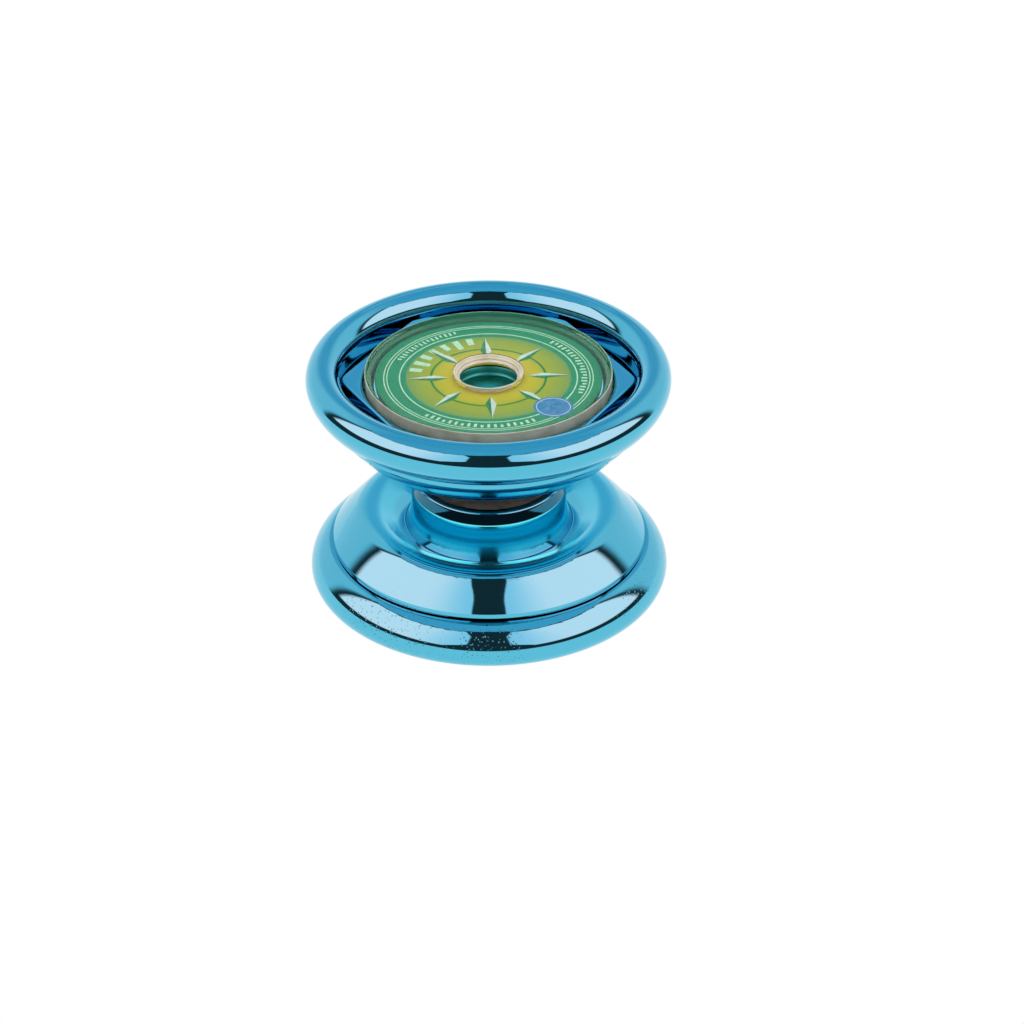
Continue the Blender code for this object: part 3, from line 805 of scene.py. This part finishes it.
def add_bearing(looks):
    centre = half_matrix("upper")
    half = RACE_TOP

    reach = math.degrees(math.acos((PITCH_CIRCLE - INNER_SHOULDER) / TRACK_RADIUS))
    track = arc((PITCH_CIRCLE, 0), (TRACK_RADIUS, TRACK_RADIUS), 180 - reach, 180 + reach, 14)
    ends = rounded([(RACE_BORE, half), (INNER_SHOULDER, half), (INNER_SHOULDER, 0)], 0.16, 5)
    top = ends[:10]
    bottom = [(r, -z) for r, z in reversed(top)]
    inner = turned("inner_race_ring", top + track + bottom, centre, looks["ground_steel"], 120, sharp=40)
    place(inner, "lower_half", "bearing_inner_race", "steel")

    reach = math.degrees(math.acos((OUTER_SHOULDER - PITCH_CIRCLE) / TRACK_RADIUS))
    track = arc((PITCH_CIRCLE, 0), (TRACK_RADIUS, TRACK_RADIUS), -reach, reach, 14)
    step_radius, step = SHIELD_STEP
    outside = rounded([(step_radius, half), (RACE_RADIUS, half), (RACE_RADIUS, -half),
                       (step_radius, -half)], 0.18, 5)
    profile = outside + [(step_radius, -step), (OUTER_SHOULDER, -step), *track, (OUTER_SHOULDER, step),
                         (step_radius, step)]
    outer = turned("outer_race_ring", profile, centre, looks["ground_steel"], 144, sharp=40)
    place(outer, "bearing_outer", "bearing_outer_race", "steel")

    inside = 4.45
    for side, way in (("upper", 1), ("lower", -1)):
        low, high = SHIELD_LOW, SHIELD_TOP
        corners = [(inside, high - 0.08), (inside + 0.25, high - 0.08), (inside + 0.4, high),
                   (SHIELD_RADIUS, high), (SHIELD_RADIUS, low), (inside, low)]
        shield = turned(side + "_shield_disc", rounded(corners, 0.05, 3), half_matrix(side),
                        looks["steel"], 120, sharp=35)
        place(shield, "bearing_outer", "bearing_{}_shield".format(side), "steel")

    corners = [(4.42, CAGE_TOP), (CAGE_RADIUS, CAGE_TOP), (CAGE_RADIUS, CAGE_LOW), (4.42, CAGE_LOW)]
    cage = turned("ball_cage_ring", rounded(corners, 0.12, 4), centre, looks["brass"], 128, sharp=35)
    for k in range(BALLS):
        angle = math.tau * k / BALLS
        bpy.ops.mesh.primitive_cylinder_add(
            vertices=40, radius=0.88 * MM, depth=2.2 * MM,
            location=(PITCH_CIRCLE * MM * math.cos(angle), PITCH_CIRCLE * MM * math.sin(angle), MIDDLE),
            rotation=(0, math.pi / 2, angle))
        carve(cage, bpy.context.object)
    place(cage, "ball_set", "bearing_cage", "brass")

    for k in range(BALLS):
        angle = math.tau * k / BALLS
        profile = arc((0, 0), (BALL_RADIUS, BALL_RADIUS), 90, -90, 25)
        profile[0], profile[-1] = (0.0, BALL_RADIUS), (0.0, -BALL_RADIUS)
        spot = Matrix.Translation((PITCH_CIRCLE * math.cos(angle), PITCH_CIRCLE * math.sin(angle), 0))
        ball = turned("bearing_ball_{}".format(k + 1), profile, centre @ spot, looks["ball_steel"], 40)
        place(ball, "ball_set", "ball_{}".format(k + 1), "steel")


# ---------------------------------------------------------------- stage

def add_camera():
    data = bpy.data.cameras.new("camera")
    data.lens = CAMERA_LENS
    data.sensor_width = 36.0
    data.clip_start = 0.01
    camera = bpy.data.objects.new("camera", data)
    bpy.context.scene.collection.objects.link(camera)
    elevation = math.radians(CAMERA_ELEVATION)
    back = Vector((0.0, -math.cos(elevation), math.sin(elevation)))
    camera.location = Vector((0, 0, MIDDLE)) + Vector(CAMERA_AIM) + back * CAMERA_DISTANCE
    camera.rotation_euler = back.to_track_quat("Z", "Y").to_euler()
    bpy.context.scene.camera = camera


def light_tent():
    """Light all round: two tall panels in front with a gap between them, dark side gaps, a pale
    sweep behind and a cooler ceiling.

    The panels are tinted red, so that the blue plating mirrors them nearly white.  Only mirrored
    rays see the tent: the camera, diffuse light and light through the lens get plain white.
    """
    world = bpy.data.worlds.new("light_tent")
    bpy.context.scene.world = world
    world.use_nodes = True
    tree = world.node_tree
    graph = Graph(tree)
    heading = graph.add("ShaderNodeTexCoord").outputs["Generated"]
    x, y, z = graph.add("ShaderNodeSeparateXYZ", {"Vector": heading}).outputs
    turn = graph.math("ABSOLUTE", graph.math("ARCTAN2", x, graph.math("MULTIPLY", y, -1.0)))
    height = graph.math("ARCSINE", z)

    def lit(low, high):
        return graph.step(height, math.radians(low), math.radians(high))

    def beyond(low, high):
        return graph.step(turn, math.radians(low), math.radians(high))

    def inverse(value):
        return graph.math("SUBTRACT", 1.0, value)

    def product(*values):
        result = values[0]
        for value in values[1:]:
            result = graph.math("MULTIPLY", result, value)
        return result

    # the panels' top edge falls away to the sides, and the ceiling starts above it
    wobble = graph.add("ShaderNodeTexNoise", {"Vector": heading, "Scale": 14.0, "Detail": 2.0}).outputs[0]
    panel_top = graph.math("MULTIPLY_ADD", turn, -0.1, math.radians(60))
    panel_top = graph.math("MULTIPLY_ADD", wobble, math.radians(6), panel_top)
    above = graph.step(graph.math("SUBTRACT", height, panel_top), math.radians(-0.6), math.radians(0.6))
    slit_half = graph.math("MULTIPLY_ADD", inverse(lit(10, 24)), math.radians(14), math.radians(13.5))
    slit_half = graph.math("MULTIPLY_ADD", lit(46, 64), math.radians(8), slit_half)
    past_slit = graph.step(graph.math("SUBTRACT", turn, slit_half), math.radians(-1), math.radians(1))

    colour = rgba((0.04, 0.042, 0.045))
    colour = graph.mix(above, colour, rgba((0.34, 0.6, 0.76)))
    sweep_behind = product(beyond(110, 118), lit(-20, -8))
    rising = graph.mix(lit(8, 30), rgba((0.85, 0.92, 0.98)), rgba((0.3, 0.56, 0.72)))
    colour = graph.mix(sweep_behind, colour, rising)
    under_edge = graph.step(graph.math("SUBTRACT", panel_top, height), math.radians(1.2), math.radians(1.9))
    side_glow = product(beyond(108, 120), inverse(beyond(142, 168)), lit(-2, 10), inverse(lit(42, 62)))
    colour = graph.mix(side_glow, colour, rgba((0.82, 0.86, 0.9)))
    panel = product(under_edge, past_slit, inverse(beyond(103, 108)), lit(9, 12), inverse(above))
    glow = graph.mix(beyond(14, 55), rgba((1.6, 1.06, 1.12)), rgba((3.9, 1.38, 1.26)))
    colour = graph.mix(panel, colour, glow)

    ray = graph.add("ShaderNodeLightPath").outputs
    plain = graph.math("MAXIMUM", ray["Is Camera Ray"],
                       graph.math("MAXIMUM", ray["Is Diffuse Ray"], ray["Is Transmission Ray"]))
    colour = graph.mix(plain, colour, rgba((1.5, 1.5, 1.5)))
    world.cycles.sampling_method = "NONE"
    background = tree.nodes["Background"]
    graph.put(background.inputs["Color"], colour)


def add_floor():
    material = bpy.data.materials.new("white_table")
    material.use_nodes = True
    tree = material.node_tree
    graph = Graph(tree)
    tree.nodes.remove(tree.nodes["Principled BSDF"])
    glow = graph.add("ShaderNodeEmission", {"Color": (1, 1, 1, 1), "Strength": 1.0})
    graph.put(tree.nodes["Material Output"].inputs["Surface"], glow.outputs[0])
    radius = 0.24
    points = [(0.0, 0.0, 0.0)]
    count = 96
    for i in range(count):
        points.append((radius * math.cos(math.tau * i / count), radius * math.sin(math.tau * i / count), 0.0))
    faces = [(0, 1 + i, 1 + (i + 1) % count) for i in range(count)]
    just_below = Matrix.Translation((0, 0, CAD_BOX[0][2] - 0.00002))
    floor = mesh_object("table", points, faces, just_below, [material])


def main():
    scene = bpy.context.scene
    scene.view_settings.view_transform = "Standard"
    add_camera()
    light_tent()
    add_floor()
    looks = {
        "chrome": chrome("blue_chrome_rim", BLUE, 0.035, 0.004, 1.0),
        "chrome_body": chrome("blue_chrome_body", BLUE, 0.035, 0.006, 0.4, body=True),
        "chrome_deck": chrome("blue_chrome_deck", DECK_BLUE, 0.05, 0.02, 0.3),
        "lens": clear_plastic("clear_lens_plastic"),
        "frosted": frosted_plastic("frosted_lens_edge"),
        # painted reflection: teal colour standing in for the label mirrored in the well's floor
        "teal": turned_metal("cap_painted_teal_reflection", (0.035, 0.42, 0.42), 0.3, 0.004, 0.4),
        "card": printed_card("printed_card"),
        "ink_line": ink("pale_ink", (0.50, 0.78, 0.62), (0.36, 0.66, 0.5)),
        "ink_green": ink("green_ink", LINE_GREEN, (0.03, 0.28, 0.12)),
        "ink_silver": ink("silver_ink", (0.62, 0.72, 0.74), (0.46, 0.58, 0.6)),
        "ink_blue": ink("blue_ink", (0.02, 0.17, 0.46), (0.06, 0.28, 0.52)),
        "silicone": silicone("cream_silicone_pad", (0.16, 0.14, 0.12), (0.09, 0.085, 0.08)),
        "steel": turned_metal("turned_steel", (0.56, 0.57, 0.58), 0.16, 0.004, 0.5),
        "ground_steel": turned_metal("ground_race_steel", (0.60, 0.61, 0.62), 0.08, 0.002, 0.35),
        "ball_steel": turned_metal("polished_ball_steel", (0.66, 0.67, 0.68), 0.03, 0.0005, 0.2),
        "brass": turned_metal("turned_brass", (0.72, 0.52, 0.20), 0.2, 0.004, 0.5),
    }
    for side in ("upper", "lower"):
        add_half(side, looks)
    add_bearing(looks)
    add_axle(looks["steel"])


main()
